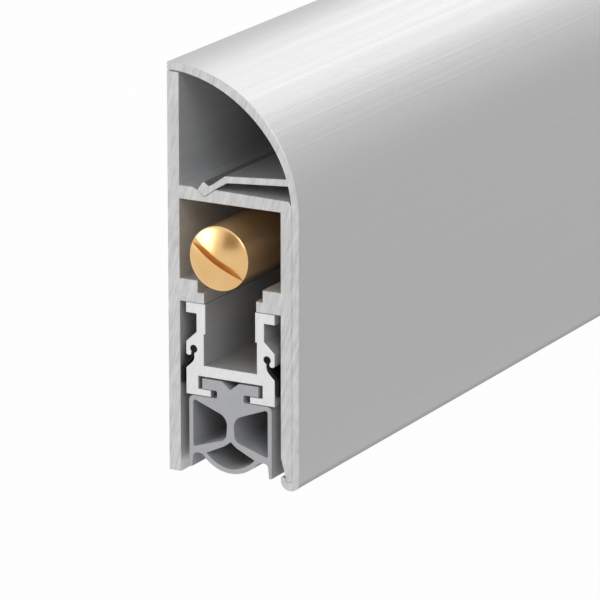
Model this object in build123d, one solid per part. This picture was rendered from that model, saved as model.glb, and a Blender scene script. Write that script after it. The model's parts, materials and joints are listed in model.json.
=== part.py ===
"""Surface-mounted automatic door bottom seal with a clip-on cover.

An aluminium housing is screwed along the foot of a door. When the door closes, its frame pushes the brass
plunger in. The plunger's spindle pushes a flat bar, the bar turns two bell-crank levers, and the levers
lower an aluminium drop bar with a hollow silicone seal onto the floor. A coil spring brings it all back.

All sizes are in millimetres. A cross section is drawn with the depth from the door face to the right and
the height above the housing's foot upwards. Lengths run from the sawn end where the plunger comes out.
The finished pieces are moved so that the origin is the middle of the fixing holes on the door face:
+X runs along the seal, away from the plunger, +Y points into the door, and +Z is up.
"""

import os
from math import atan, cos, degrees, pi, radians, sin, sqrt, tan

from build123d import *

# Driving sizes of the aluminium housing.
length = 335.0  # the shortest stock length
wall = 1.45  # back wall, which lies on the door
wall_height = 45.05
room_width = 12.5  # clear width between the back wall and the front wall
front_wall = 1.4
shelf_top = 32.5
shelf = 1.5
room_height = 8.95  # clear height of the mechanism room under the shelf
seat_step = 1.35  # upper step of each ledge
seat_slot = 8.05  # clear width between the upper steps
ledge_step = 1.2  # lower step of each ledge
ledge_slot = 6.45  # clear width between the lower steps
wall_foot = 0.77  # lower end of the front wall above the back wall's foot
foot_taper = 2.6  # height over which the front wall thins to its foot
foot_wall = 0.75  # front wall's thickness at its foot
groove_depth_from_door = 4.5  # deepest line of the V groove that the cover's bead snaps into
groove_door_side = 1.35  # from the deepest line to the groove's edge nearer the door
groove_room_side = 1.42  # and to its edge nearer the room
groove_depth = 1.03  # to the corner before it is rounded
groove_round = 0.45
shelf_chamfer = 0.45

# Driving sizes of the clip-on cover.
cover_wall = 0.85
crown_inset = 0.4  # the crown's centre line from the door face
crown_gap = 0.11  # gap between the crown and the top of the back wall
bead_gap = 0.04  # gap between the bead and its groove
arm = 0.78  # wall of the arm that carries the bead
arm_rise = 2.35  # underside of the arm above the shelf where it joins the cover
arm_knee = 2.9  # distance from the bead to the arm's knee
arm_knee_rise = 1.6
cover_foot = 0.2  # how far the cover's hook reaches below the back wall's foot
hook_lip = 1.35  # height of the hook's lip above the back wall's foot

# Driving sizes of the drop bar.
bar_gap = 0.04  # gap between the raised bar and the ledges
bar_height = 10.41
bar_width = 11.0
bar_channel = 6.2  # clear width between the legs' upper halves
bar_relief = 0.2  # the channel is this much wider on each side below the legs' step
relief_height = 3.55  # height of that wider part above the web
flange = 1.16
leg = 1.1
lip = 0.75  # lips that hold the floor seal's head
tee_height = 1.45  # clear height of the slot above the lips
tee_width = 8.0
mouth = 4.9  # clear width between the lips
web = 1.25
box_height = 3.0  # height of the lower box's sides
socket_height = 5.2  # middle of the gasket socket above the bar's foot
socket_inset = 0.93  # middle of the gasket socket from the bar's side
socket_radius = 0.43
socket_mouth = 0.35
hook_wall = 0.65

# Driving sizes of the soft seals.
seal_wall = 0.5
seal_width = 10.3
seal_foot = 0.65  # lowest point of the raised floor seal above the housing's foot
belly_radius = 4.35
head_width = 7.0
head_gap = 0.07
neck_width = 3.3
notch_width = 2.1
notch_depth = 0.85
gasket_gap = 0.2  # gap between a side gasket and the wall that it brushes
gasket_bulb = 0.38
gasket_fin = 0.32
gasket_foot = 1.2  # lower end of a side gasket above the bar's foot

# Driving sizes of the plunger and its spring.
plunger_radius = 3.6
plunger_out = 2.4  # how far the plunger's rim stands out of the end
plunger_length = 36.4
dome = 0.9
slot_width = 0.72
slot_depth = 0.95
slot_angle = 30.0
travel = 7.0  # how far the door frame pushes the plunger in
spindle_radius = 2.5
spindle_start = 14.0
running_gap = 0.05
bore_spare = 2.0  # bore left in front of the spindle's end
nut_across = 8.0
nut_thickness = 2.7
guide_start = 18.0
guide_length = 10.0
collar_start = 46.0
collar_length = 2.0
collar_radius = 4.0
spring_length = 22.0
spring_radius = 3.4
wire_radius = 0.45
spring_turns = 7
stop_length = 6.0
bar_clearance = 2.0  # gap between the spring stop and the push bar
tenon_radius = 1.25
tenon_length = 8.0

# Driving sizes of the levers.
drop = 8.0  # how far the floor seal comes down
front_pivot = 112.0  # from the plunger end
rear_inset = 74.0  # rear pivot from the far end
push_width = 6.0
push_height = 4.0
push_end = 9.0  # push bar left behind the rear drive pin
pin_radius = 1.0
pivot_clear = 0.5  # gap between the blocks' noses and the drop bar's web
nose_radius = 2.0
nose_width = 5.5
nose_shoulder = 5.2  # half length of the nose where it meets the saddle
block_length = 30.0
block_gap = 0.1  # gap between a moulded block and the long walls
saddle_floor = 1.35
lever_thickness = 2.0
lever_gap = 0.2
lift_angle = 10.5  # the lower arms point this many degrees up at rest
fork_wall = 1.05
tip_radius = 1.9
slide_gap = 0.15  # gap around a pin in the fork or in a lift slot
bracket_sheet = 0.8
bracket_width = 5.9
bracket_foot = 12.4
bracket_ear = 6.4
rivet_radius = 0.9
rivet_head = 0.7

# Driving sizes of the fixings.
hole_radius = 2.2
hole_pitch = 127.5
hole_count = 3
screw_radius = 1.4
screw_head = 2.5
screw_depth = 2.6  # screw below the shelf
screw_inset = 1.95  # middle of the screws from the front wall
screw_pitch = 20.0  # of the two screws in a lever block
head_depth = 0.9

# Places that follow from the driving sizes.
room_face = wall + room_width
front_face = room_face + front_wall
depth = front_face + cover_wall
middle = wall + room_width / 2
shelf_under = shelf_top - shelf
ledge_top = shelf_under - room_height
ledge_middle = ledge_top - seat_step
ledge_under = ledge_middle - ledge_step
hole_height = (shelf_top + wall_height) / 2
screw_line = room_face - screw_inset

bar_top = ledge_under - bar_gap
bar_foot = bar_top - bar_height
tee_foot = bar_foot + lip
tee_top = tee_foot + tee_height
web_top = tee_top + web
bar_side = bar_width / 2
socket_side = bar_side - socket_inset
socket_level = bar_foot + socket_height

crown_radius = depth - crown_inset
crown_inside = crown_radius - cover_wall
crown_height = wall_height + crown_gap - sqrt(crown_inside**2 - (wall - crown_inset) ** 2)

plunger_height = ledge_top + plunger_radius
pivot_height = web_top + pivot_clear + nose_radius
drive_rise = plunger_height - pivot_height
swing = 2 * degrees(atan(travel / 2 / drive_rise))
arm_length = drop / (sin(radians(lift_angle)) + sin(radians(swing - lift_angle)))
drive_reach = drive_rise / cos(radians(swing / 2))
lift_height = pivot_height + arm_length * sin(radians(lift_angle))
lift_nearest = arm_length * cos(radians(swing - lift_angle))
rear_pivot = length - rear_inset
pivots = {"front": front_pivot, "rear": rear_pivot}

plunger_rear = plunger_length - plunger_out
collar_end = collar_start + collar_length
stop_start = collar_end + spring_length
push_start = stop_start + stop_length + bar_clearance
push_length = rear_pivot - travel / 2 + push_end - push_start


# Helpers that draw sections and place simple solids.
def outline(*corners):
    """A face from corners given as (right, up) or (right, up, radius)."""
    points = [corner[:2] for corner in corners]
    radii = [corner[2] if len(corner) > 2 else 0 for corner in corners]
    return make_face(FilletPolyline(*points, radius=radii, close=True))


def window(low_right, high_right, low_up, high_up):
    """A rectangular face between two heights."""
    size = Rectangle(high_right - low_right, high_up - low_up)
    return Pos((low_right + high_right) / 2, (low_up + high_up) / 2) * size


def both_sides(half):
    """A face and its mirror image about the upright axis."""
    return half + mirror(half, about=Plane.YZ)


def profile_bar(profile, start, end):
    """A cross section extruded along the length."""
    plane = Plane(origin=(end, 0, 0), x_dir=(0, -1, 0), z_dir=(-1, 0, 0))
    return extrude(plane * profile, amount=end - start, dir=(-1, 0, 0))


def slab(profile, low_depth, high_depth):
    """A side view, drawn along the length and up, extruded in depth."""
    plane = Plane(origin=(0, -low_depth, 0), x_dir=(1, 0, 0), z_dir=(0, -1, 0))
    return extrude(plane * profile, amount=high_depth - low_depth, dir=(0, -1, 0))


def brick(start, end, low_depth, high_depth, low, high):
    """A block between two planes each way."""
    middle_point = Pos((start + end) / 2, -(low_depth + high_depth) / 2, (low + high) / 2)
    return middle_point * Box(end - start, high_depth - low_depth, high - low)


def rod(start, end, radius, height=plunger_height):
    """A cylinder along the length, in the middle of the room."""
    return Pos((start + end) / 2, -middle, height) * Rot(0, 90, 0) * Cylinder(radius, end - start)


def cross_pin(at, height, radius, pin_length):
    """A cylinder along the depth, centred on the middle of the room."""
    return Pos(at, -middle, height) * Rot(90, 0, 0) * Cylinder(radius, pin_length)


def upright(at, depth_from_door, low, high, radius):
    """An upright cylinder."""
    return Pos(at, -depth_from_door, (low + high) / 2) * Cylinder(radius, high - low)


def upright_cone(at, depth_from_door, low, high, low_radius, high_radius):
    """An upright cone, with its radius given at both ends."""
    cone = Cone(low_radius, high_radius, high - low)
    return Pos(at, -depth_from_door, (low + high) / 2) * cone


def screw_places():
    """Where each countersunk screw goes through the shelf, along the length."""
    places = [guide_start + guide_length / 2, stop_start + stop_length / 2]
    for pivot in pivots.values():
        places += [pivot - screw_pitch / 2, pivot + screw_pitch / 2]
    return places


def countersink(at):
    """The shape of one screw's hole through the shelf."""
    cone = upright_cone(at, screw_line, shelf_top - head_depth, shelf_top, screw_radius, screw_head)
    return cone + upright(at, screw_line, shelf_under, shelf_top - head_depth, screw_radius)


def screw_pilot(at):
    """The hole that a screw cuts its thread in, below the shelf."""
    return upright(at, screw_line, shelf_under - screw_depth, shelf_under, screw_radius)


# The housing and its cover.
def groove_corners(lift=0):
    """The V groove's corners from the door to the room, lifted to clear it when they draw the bead."""
    foot = shelf_top + lift
    return [
        (groove_depth_from_door - groove_door_side * 0.6, foot - groove_depth / 4, groove_round * 0.8),
        (groove_depth_from_door, foot - groove_depth, groove_round),
        (groove_depth_from_door + groove_room_side, foot),
    ]


def housing():
    """Back wall, shelf, front wall and the stepped ledges, in one extrusion."""
    half_seat = seat_slot / 2
    half_ledge = ledge_slot / 2
    section = outline(
        (0, 0),
        (0, wall_height),
        (wall, wall_height),
        (wall, shelf_top),
        (front_face - shelf_chamfer, shelf_top),
        (front_face, shelf_top - shelf_chamfer),
        (front_face, wall_foot, foot_wall * 0.35),
        (front_face - foot_wall, wall_foot, foot_wall * 0.15),
        (front_face - foot_wall * 1.2, wall_foot + foot_taper * 0.35, foot_wall * 0.3),
        (room_face, wall_foot + foot_taper),
        (room_face, ledge_under),
        (middle + half_ledge, ledge_under),
        (middle + half_ledge, ledge_middle),
        (middle + half_seat, ledge_middle),
        (middle + half_seat, ledge_top),
        (room_face, ledge_top),
        (room_face, shelf_under),
        (wall, shelf_under),
        (wall, ledge_top),
        (middle - half_seat, ledge_top),
        (middle - half_seat, ledge_middle),
        (middle - half_ledge, ledge_middle),
        (middle - half_ledge, ledge_under),
        (wall, ledge_under),
        (wall, 0),
    )
    groove = outline((groove_depth_from_door - groove_door_side, shelf_top), *groove_corners())
    under_crown = Pos(crown_inset, crown_height) * Circle(crown_inside - bead_gap / 2)
    corner = window(middle, depth, crown_height, shelf_top) - under_crown
    solid = profile_bar(section - groove - corner, 0, length)
    for index in range(hole_count):
        at = length / 2 + (index - (hole_count - 1) / 2) * hole_pitch
        solid -= Pos(at, -wall / 2, hole_height) * Rot(90, 0, 0) * Cylinder(hole_radius, wall * 2)
    for at in screw_places():
        solid -= countersink(at)
    return solid


def cover_profile():
    """Clip-on cover: hooked foot, flat front, quarter-round crown and the arm with its bead."""
    inner = front_face
    lip_gap = bead_gap
    lip_inside = inner - foot_wall - lip_gap
    half_hook = (depth - room_face) / 2
    foot = outline(
        (depth, crown_height),
        (depth, -cover_foot, half_hook * 0.95),
        (room_face, -cover_foot, half_hook * 0.95),
        (room_face, hook_lip - foot_wall / 5, foot_wall * 0.15),
        (room_face + foot_wall * 0.25, hook_lip, foot_wall * 0.15),
        (lip_inside - foot_wall * 0.1, hook_lip - foot_wall * 0.35),
        (lip_inside, wall_foot - lip_gap, foot_wall * 0.1),
        (inner, wall_foot - lip_gap, foot_wall * 0.3),
        (inner, crown_height),
    )
    ring = Circle(crown_radius) - Circle(crown_inside)
    quarter = window(-crown_inset, crown_radius, 0, crown_radius)
    crown = Pos(crown_inset, crown_height) * (ring & quarter)
    knee = groove_depth_from_door + arm_knee
    edge, deepest, root = groove_corners(bead_gap)
    carrier = outline(
        (edge[0], edge[1], arm / 10),
        (groove_depth_from_door - arm / 10, shelf_top + arm, arm * 0.2),
        (groove_depth_from_door + arm * 0.75, shelf_top + arm * 0.45, arm * 0.15),
        (groove_depth_from_door + arm * 1.2, shelf_top + arm * 0.6, arm * 0.15),
        (knee - arm * 0.4, shelf_top + arm_knee_rise + arm * 0.1, arm * 0.6),
        (inner + cover_wall / 2, shelf_top + arm_rise),
        (inner + cover_wall / 2, shelf_top + arm_rise - arm),
        (knee, shelf_top + arm_knee_rise - arm * 0.85, arm * 0.6),
        root,
        deepest,
    )
    inside_crown = Pos(crown_inset, crown_height) * Circle(crown_radius - cover_wall / 2)
    section = foot + crown + (carrier & inside_crown)
    return profile_bar(section, 0, length)


# The drop bar and what it carries.
def drop_bar():
    """Two flanged legs on a slotted box, with a gasket socket on each side."""
    half_channel = bar_channel / 2
    leg_side = half_channel + leg
    socket_leg = socket_side - socket_mouth * 0.2
    half = outline(
        (0, web_top),
        (half_channel + bar_relief, web_top),
        (half_channel + bar_relief, web_top + relief_height),
        (half_channel, web_top + relief_height),
        (half_channel, bar_top),
        (bar_side, bar_top),
        (bar_side, bar_top - flange),
        (leg_side, bar_top - flange),
        (leg_side, socket_level + leg * 1.8),
        (bar_side, socket_level + hook_wall * 1.2),
        (bar_side, socket_level - hook_wall * 1.2, hook_wall * 0.45),
        (bar_side - hook_wall, socket_level - hook_wall * 1.2, hook_wall * 0.45),
        (bar_side - hook_wall, socket_level),
        (socket_leg, socket_level),
        (socket_leg, bar_foot + box_height + hook_wall * 1.4, hook_wall * 1.4),
        (bar_side, bar_foot + box_height, hook_wall / 3),
        (bar_side, bar_foot),
        (mouth / 2, bar_foot),
        (mouth / 2, tee_foot),
        (tee_width / 2, tee_foot),
        (tee_width / 2, tee_top),
        (0, tee_top),
    )
    half -= Pos(socket_side, socket_level) * Circle(socket_radius)
    solid = profile_bar(Pos(middle, 0) * both_sides(half), 0, length)
    for pivot in pivots.values():
        for at in rivet_places(pivot):
            solid -= rivet(at)
    return solid


def floor_seal():
    """Hollow seal: a T head, two side chambers, a round belly and a lip on each side."""
    half_width = seal_width / 2
    shoulder = bar_foot - head_gap
    belly_centre = seal_foot + belly_radius
    lip_top = seal_foot + seal_wall * 3.6
    notch_side = sqrt(belly_radius**2 - (belly_centre - seal_foot - seal_wall * 2.5) ** 2)
    half = outline(
        (0, tee_top - head_gap * 3 - notch_depth),
        (notch_width / 2, tee_top - head_gap * 3),
        (head_width / 2, tee_top - head_gap * 3),
        (head_width / 2, tee_foot + head_gap),
        (neck_width / 2, tee_foot + head_gap, lip * 0.3),
        (neck_width / 2, shoulder, lip * 0.3),
        (half_width, shoulder, seal_wall * 1.2),
        (half_width, seal_foot + seal_wall / 4, seal_wall / 5),
        (half_width - seal_wall * 0.7, seal_foot + seal_wall / 4, seal_wall / 5),
        (half_width - seal_wall, lip_top, seal_wall),
        (notch_side + seal_wall, lip_top, seal_wall),
        (notch_side, seal_foot + seal_wall * 2.5),
        (0, seal_foot + seal_wall * 2.5),
    )
    chamber_side = half_width - seal_wall
    chamber = outline(
        (chamber_side, shoulder - seal_wall * 0.75, seal_wall * 0.6),
        (seal_wall * 0.7, shoulder - seal_wall * 4, seal_wall * 2.6),
        (seal_wall * 1.1, belly_centre - seal_wall * 1.2, seal_wall * 1.8),
        (chamber_side, seal_foot + seal_wall * 4.9, seal_wall * 0.4),
    )
    belly = Pos(0, belly_centre) * Circle(belly_radius)
    below = window(-half_width, half_width, seal_foot, seal_foot + seal_wall * 2.5)
    hollow = Pos(0, belly_centre) * Circle(belly_radius - seal_wall)
    eaves = seal_foot + seal_wall * 3.9
    roof_side = sqrt((belly_radius - seal_wall) ** 2 - (belly_centre - eaves) ** 2)
    ridge = belly_centre - seal_wall * 1.4
    roof = outline(
        (-roof_side, eaves),
        (roof_side, eaves),
        (seal_wall * 1.4, ridge - seal_wall * 1.2, seal_wall * 2.5),
        (0, ridge, seal_wall * 0.2),
        (-seal_wall * 1.4, ridge - seal_wall * 1.2, seal_wall * 2.5),
    )
    under_roof = window(-half_width, half_width, seal_foot, eaves)
    section = both_sides(half) + (belly & below) - both_sides(chamber) - roof - (hollow & under_roof)
    return profile_bar(Pos(middle, 0) * section, 0, length)


def side_gasket(side):
    """Sealing strip: a bulb in the bar's socket and a thin fin that hangs down beside the housing's wall."""
    fin_side = room_width / 2 - gasket_gap
    box_top = bar_foot + box_height
    neck_half = socket_mouth * 0.42
    neck_side = (socket_side - socket_mouth * 0.2 + bar_side - hook_wall) / 2
    strip = outline(
        (neck_side - neck_half, socket_level),
        (neck_side + neck_half, socket_level),
        (neck_side + neck_half, socket_level - hook_wall * 1.15, gasket_fin * 0.8),
        (fin_side, box_top, gasket_fin * 2.2),
        (fin_side, bar_foot + gasket_foot, gasket_fin * 0.4),
        (fin_side - gasket_fin, bar_foot + gasket_foot, gasket_fin * 0.4),
        (fin_side - gasket_fin, box_top - gasket_fin * 0.45, gasket_fin * 1.7),
        (neck_side - neck_half, socket_level - hook_wall * 1.3, gasket_fin),
    )
    strip += Pos(socket_side, socket_level) * Circle(gasket_bulb)
    if side == "door":
        strip = mirror(strip, about=Plane.YZ)
    return profile_bar(Pos(middle, 0) * strip, 0, length)


# The plunger, its spindle and the return spring.
def plunger():
    """Brass plunger with a domed, slotted head, bored from behind for the spindle's thread."""
    sphere_radius = (plunger_radius**2 + dome**2) / (2 * dome)
    body = rod(-plunger_out - dome, plunger_rear, plunger_radius)
    ball = Pos(-plunger_out - dome + sphere_radius, -middle, plunger_height) * Sphere(sphere_radius)
    body = (body & ball) + rod(0, plunger_rear, plunger_radius)
    body -= rod(spindle_start - bore_spare, plunger_rear, spindle_radius + running_gap)
    slot_floor = -plunger_out - dome + slot_depth
    slot = Box(slot_depth * 2, plunger_radius * 3, slot_width)
    body -= Pos(slot_floor - slot_depth, -middle, plunger_height) * Rot(slot_angle, 0, 0) * slot
    return chamfer(body.edges().filter_by(GeomType.CIRCLE).sort_by(Axis.X)[-1], running_gap * 4)


def plunger_spindle():
    """Steel spindle, threaded in the plunger and turned down to a tenon in the push bar."""
    shaft = rod(spindle_start, push_start, spindle_radius)
    shaft = chamfer(shaft.edges().sort_by(Axis.X)[0], running_gap * 8)
    return shaft + rod(push_start, push_start + tenon_length, tenon_radius)


def lock_nut():
    """Hexagon nut that locks the plunger on its spindle."""
    hexagon = RegularPolygon(nut_across / 2, 6, major_radius=False) - Circle(spindle_radius + running_gap)
    start = plunger_rear + running_gap
    nut = profile_bar(Pos(middle, plunger_height) * hexagon, start, start + nut_thickness)
    corner_radius = nut_across / 2 / cos(pi / 6)
    cone = Cone(corner_radius, corner_radius - nut_thickness * 0.3, nut_thickness)
    return nut & (Pos(start + nut_thickness / 2, -middle, plunger_height) * Rot(0, 90, 0) * cone)


def room_block(start, end, foot=ledge_top):
    """A moulded block that fills the mechanism room between its long walls."""
    block = brick(start, end, wall + block_gap, room_face - block_gap, foot, shelf_under)
    return chamfer(block.edges().filter_by(Axis.Z), block_gap * 5)


def plunger_guide():
    """Moulded block that guides the plunger, relieved on both sides of its bore."""
    end = guide_start + guide_length
    block = room_block(guide_start, end)
    rim = plunger_radius + 1.0
    pocket_top = shelf_under - screw_depth - 1
    for side in (wall + block_gap, room_face - block_gap):
        block -= brick(guide_start + 2, end - 2, side - 0.8, side + 0.8, ledge_top + 2, pocket_top)
    block -= rod(guide_start, end, plunger_radius + running_gap)
    block -= brick(guide_start, end, middle - rim / 3, middle + rim / 3, ledge_top, plunger_height)
    return block - screw_pilot(guide_start + guide_length / 2)


def spring_collar():
    """Collar fixed on the spindle, which the return spring pushes on."""
    ring = rod(collar_start, collar_end, collar_radius) - rod(collar_start, collar_end, spindle_radius)
    return chamfer(ring.edges().filter_by(GeomType.CIRCLE).group_by(SortBy.RADIUS)[-1], collar_length / 5)


def return_spring():
    """Coil spring between the collar and its stop."""
    start = collar_end + wire_radius
    end = stop_start - wire_radius
    path = Helix((end - start) / spring_turns, end - start, spring_radius)
    wire = Plane(origin=path @ 0, z_dir=path % 0) * Circle(wire_radius)
    return Pos(start, -middle, plunger_height) * Rot(0, 90, 0) * sweep(wire, path)


def spring_stop():
    """Moulded block that the spring stands against and the spindle passes through."""
    end = stop_start + stop_length
    block = room_block(stop_start, end)
    block -= rod(stop_start, end, spindle_radius + lever_gap)
    return block - screw_pilot(stop_start + stop_length / 2)


# The push bar, the levers and their blocks.
def drive_places():
    """Where the drive pins are along the length, at rest."""
    return [pivot - travel / 2 for pivot in pivots.values()]


def push_bar():
    """Flat bar with a window for each lever and a bore for the spindle's tenon."""
    low = plunger_height - push_height / 2
    high = plunger_height + push_height / 2
    push_stop = push_start + push_length
    bar = brick(push_start, push_stop, middle - push_width / 2, middle + push_width / 2, low, high)
    bar = chamfer(bar.edges().filter_by(Axis.Z), pin_radius / 2)
    bar -= rod(push_start, push_start + tenon_length, tenon_radius)
    fork_side = pin_radius + slide_gap + fork_wall
    half_window = fork_side / cos(radians(swing / 2)) + push_height / 2 * tan(radians(swing / 2)) + lever_gap * 2
    half_gap = lever_thickness / 2 + lever_gap
    for at in drive_places():
        bar -= brick(at - half_window, at + half_window, middle - half_gap, middle + half_gap, low, high)
        bar -= cross_pin(at, plunger_height, pin_radius, push_width)
    return bar


def drive_pin(pivot):
    """Pin across the push bar's window, held in both its sides."""
    return cross_pin(pivot - travel / 2, plunger_height, pin_radius, push_width)


def lever(pivot):
    """Bell crank: a fork round the drive pin above, and an arm with the lift pin in front."""
    fork_side = pin_radius + slide_gap + fork_wall
    fork_top = drive_reach + pin_radius + slide_gap * 2
    hub = Circle(nose_radius)
    shaft = Pos(0, drive_rise - pin_radius) * Circle(fork_side)
    upper = make_hull(hub.edges() + shaft.edges())
    upper += outline(
        (-fork_side, drive_rise - pin_radius),
        (fork_side, drive_rise - pin_radius),
        (fork_side, fork_top, fork_wall * 0.6),
        (-fork_side, fork_top, fork_wall * 0.6),
    )
    slot_foot = drive_rise - pin_radius - slide_gap
    half_fork = pin_radius + slide_gap
    upper -= window(-half_fork, half_fork, slot_foot + half_fork, fork_top)
    upper -= Pos(0, slot_foot + half_fork) * Circle(half_fork)
    tip = Pos(arm_length, 0) * Circle(tip_radius)
    lower = make_hull(hub.edges() + tip.edges()) - Pos(arm_length, 0) * Circle(pin_radius)
    shape = Rot(0, 0, swing / 2) * upper + Rot(0, 0, lift_angle) * lower
    shape -= Circle(pin_radius + running_gap)
    half = lever_thickness / 2
    return slab(Pos(pivot, pivot_height) * shape, middle - half, middle + half)


def lift_pin(pivot):
    """Pin in the lever's end that carries the drop bar in its bracket's slots."""
    at = pivot + arm_length * cos(radians(lift_angle))
    return cross_pin(at, lift_height, pin_radius, bracket_width)


def pivot_pin(pivot):
    """Pin that the lever turns on, held in both cheeks of its block."""
    return cross_pin(pivot, pivot_height, pin_radius, nose_width)


def lever_block(pivot):
    """Moulded saddle over the push bar, with a forked nose that reaches down to the lever's pivot."""
    start = pivot - block_length / 2
    end = pivot + block_length / 2
    block = room_block(start, end)
    tunnel_low = ledge_top + saddle_floor
    tunnel_high = plunger_height + push_height / 2 + slide_gap * 2
    tunnel_half = push_width / 2 + lever_gap
    block -= brick(start, end, middle - tunnel_half, middle + tunnel_half, tunnel_low, tunnel_high)
    nose = make_hull(
        (Pos(0, 0) * Circle(nose_radius)).edges()
        + window(-nose_shoulder, nose_shoulder, ledge_top - pivot_height - 0.1, ledge_top - pivot_height).edges()
    )
    block += slab(Pos(pivot, pivot_height) * nose, middle - nose_width / 2, middle + nose_width / 2)
    gap_half = lever_thickness / 2 + lever_gap
    reach = (tunnel_low - pivot_height) * tan(radians(swing / 2)) + (pin_radius + slide_gap + fork_wall) * 1.3
    gap_start = pivot - max(reach, nose_shoulder) - lever_gap
    gap_end = pivot + max(reach, nose_shoulder) + lever_gap
    block -= brick(
        gap_start, gap_end, middle - gap_half, middle + gap_half, pivot_height - nose_radius, tunnel_low
    )
    block -= cross_pin(pivot, pivot_height, pin_radius, nose_width)
    for at in (pivot - screw_pitch / 2, pivot + screw_pitch / 2):
        block -= screw_pilot(at)
    return block


def bracket_middle(pivot):
    """Middle of a bracket's lift slots along the length."""
    return pivot + (lift_nearest + arm_length) / 2


def rivet_places(pivot):
    """Where the two rivets of a bracket are along the length."""
    step = bracket_foot / 2 - rivet_radius * 2
    return [bracket_middle(pivot) - step, bracket_middle(pivot) + step]


def rivet(at):
    """Rivet with a flush countersunk foot under the web and a domed head on the bracket."""
    sheet_top = web_top + bracket_sheet
    foot = upright_cone(at, middle, tee_top, tee_top + web / 2, rivet_radius * 1.7, rivet_radius)
    shank = upright(at, middle, tee_top, sheet_top, rivet_radius)
    head_radius = rivet_radius * 1.6
    ball_radius = (head_radius**2 + rivet_head**2) / (2 * rivet_head)
    ball = Pos(at, -middle, sheet_top + rivet_head - ball_radius) * Sphere(ball_radius)
    head = ball & upright(at, middle, sheet_top, sheet_top + rivet_head, head_radius)
    return foot + shank + head


def bracket_rivets(pivot):
    """The two rivets that hold one lift bracket."""
    return Compound(children=[rivet(at) for at in rivet_places(pivot)])


def lift_bracket(pivot):
    """Folded steel bracket on the drop bar's web, with a lift slot in each ear."""
    slot_half = pin_radius + slide_gap
    slot_run = arm_length - lift_nearest
    ear_top = lift_height + slot_half + bracket_sheet * 1.2
    centre = bracket_middle(pivot)
    side = outline(
        (centre - bracket_foot / 2, web_top),
        (centre + bracket_foot / 2, web_top),
        (centre + bracket_foot / 2, web_top + bracket_sheet),
        (centre + bracket_ear / 2, web_top + bracket_sheet, bracket_sheet / 2),
        (centre + bracket_ear / 2, ear_top, bracket_ear / 4),
        (centre - bracket_ear / 2, ear_top, bracket_ear / 4),
        (centre - bracket_ear / 2, web_top + bracket_sheet, bracket_sheet / 2),
        (centre - bracket_foot / 2, web_top + bracket_sheet),
    )
    slot = Pos(centre, lift_height) * SlotCenterToCenter(slot_run, slot_half * 2)
    half = bracket_width / 2
    bracket = slab(side - slot, middle - half, middle + half)
    inside = half - bracket_sheet
    bracket -= brick(
        centre - bracket_foot / 2,
        centre + bracket_foot / 2,
        middle - inside,
        middle + inside,
        web_top + bracket_sheet,
        ear_top,
    )
    for at in rivet_places(pivot):
        bracket -= upright(at, middle, web_top, web_top + bracket_sheet, rivet_radius)
    return bracket


def block_screws():
    """Countersunk screws that hold the moulded blocks under the shelf."""
    screws = []
    for at in screw_places():
        screw = countersink(at) + screw_pilot(at)
        drive = Pos(at, -screw_line, shelf_top) * RegularPolygon(screw_radius * 0.7, 6)
        screws.append(screw - extrude(drive, amount=-head_depth * 0.8))
    return Compound(children=screws)


pieces = {
    "housing": housing(),
    "cover_profile": cover_profile(),
    "drop_bar": drop_bar(),
    "floor_seal": floor_seal(),
    "door_side_gasket": side_gasket("door"),
    "room_side_gasket": side_gasket("room"),
    "plunger": plunger(),
    "plunger_spindle": plunger_spindle(),
    "lock_nut": lock_nut(),
    "plunger_guide": plunger_guide(),
    "spring_collar": spring_collar(),
    "return_spring": return_spring(),
    "spring_stop": spring_stop(),
    "push_bar": push_bar(),
    "block_screws": block_screws(),
}
for place, pivot_at in pivots.items():
    pieces[f"{place}_lever_block"] = lever_block(pivot_at)
    pieces[f"{place}_lever"] = lever(pivot_at)
    pieces[f"{place}_pivot_pin"] = pivot_pin(pivot_at)
    pieces[f"{place}_drive_pin"] = drive_pin(pivot_at)
    pieces[f"{place}_lift_pin"] = lift_pin(pivot_at)
    pieces[f"{place}_lift_bracket"] = lift_bracket(pivot_at)
    pieces[f"{place}_bracket_rivets"] = bracket_rivets(pivot_at)

os.makedirs("parts", exist_ok=True)
to_origin = Pos(-length / 2, 0, -hole_height)
for node, piece in pieces.items():
    export_step(to_origin * piece, f"parts/{node}.step")

print("pivot height", round(pivot_height, 3), "swing", round(swing, 3), "arm length", round(arm_length, 3))
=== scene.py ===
# %% [markdown]
# # Automatic door bottom seal
#
# The object is screwed along the foot of a door. When the door closes, a brass plunger is pushed in, and a
# hidden mechanism lowers a bar with a soft grey seal onto the floor. This lesson dresses its mechanical
# model: the sawn aluminium profiles, the soft seals and the turned plunger get smooth shapes and finishes.
#
# The first cell loads the mechanical model as a frame that never moves. Everything that is made later is
# placed by that frame, so a new shape always lands where the mechanical part is.

# %% Load the mechanical model
import json
import math

import bmesh
import bpy
from mathutils import Matrix, Vector


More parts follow.
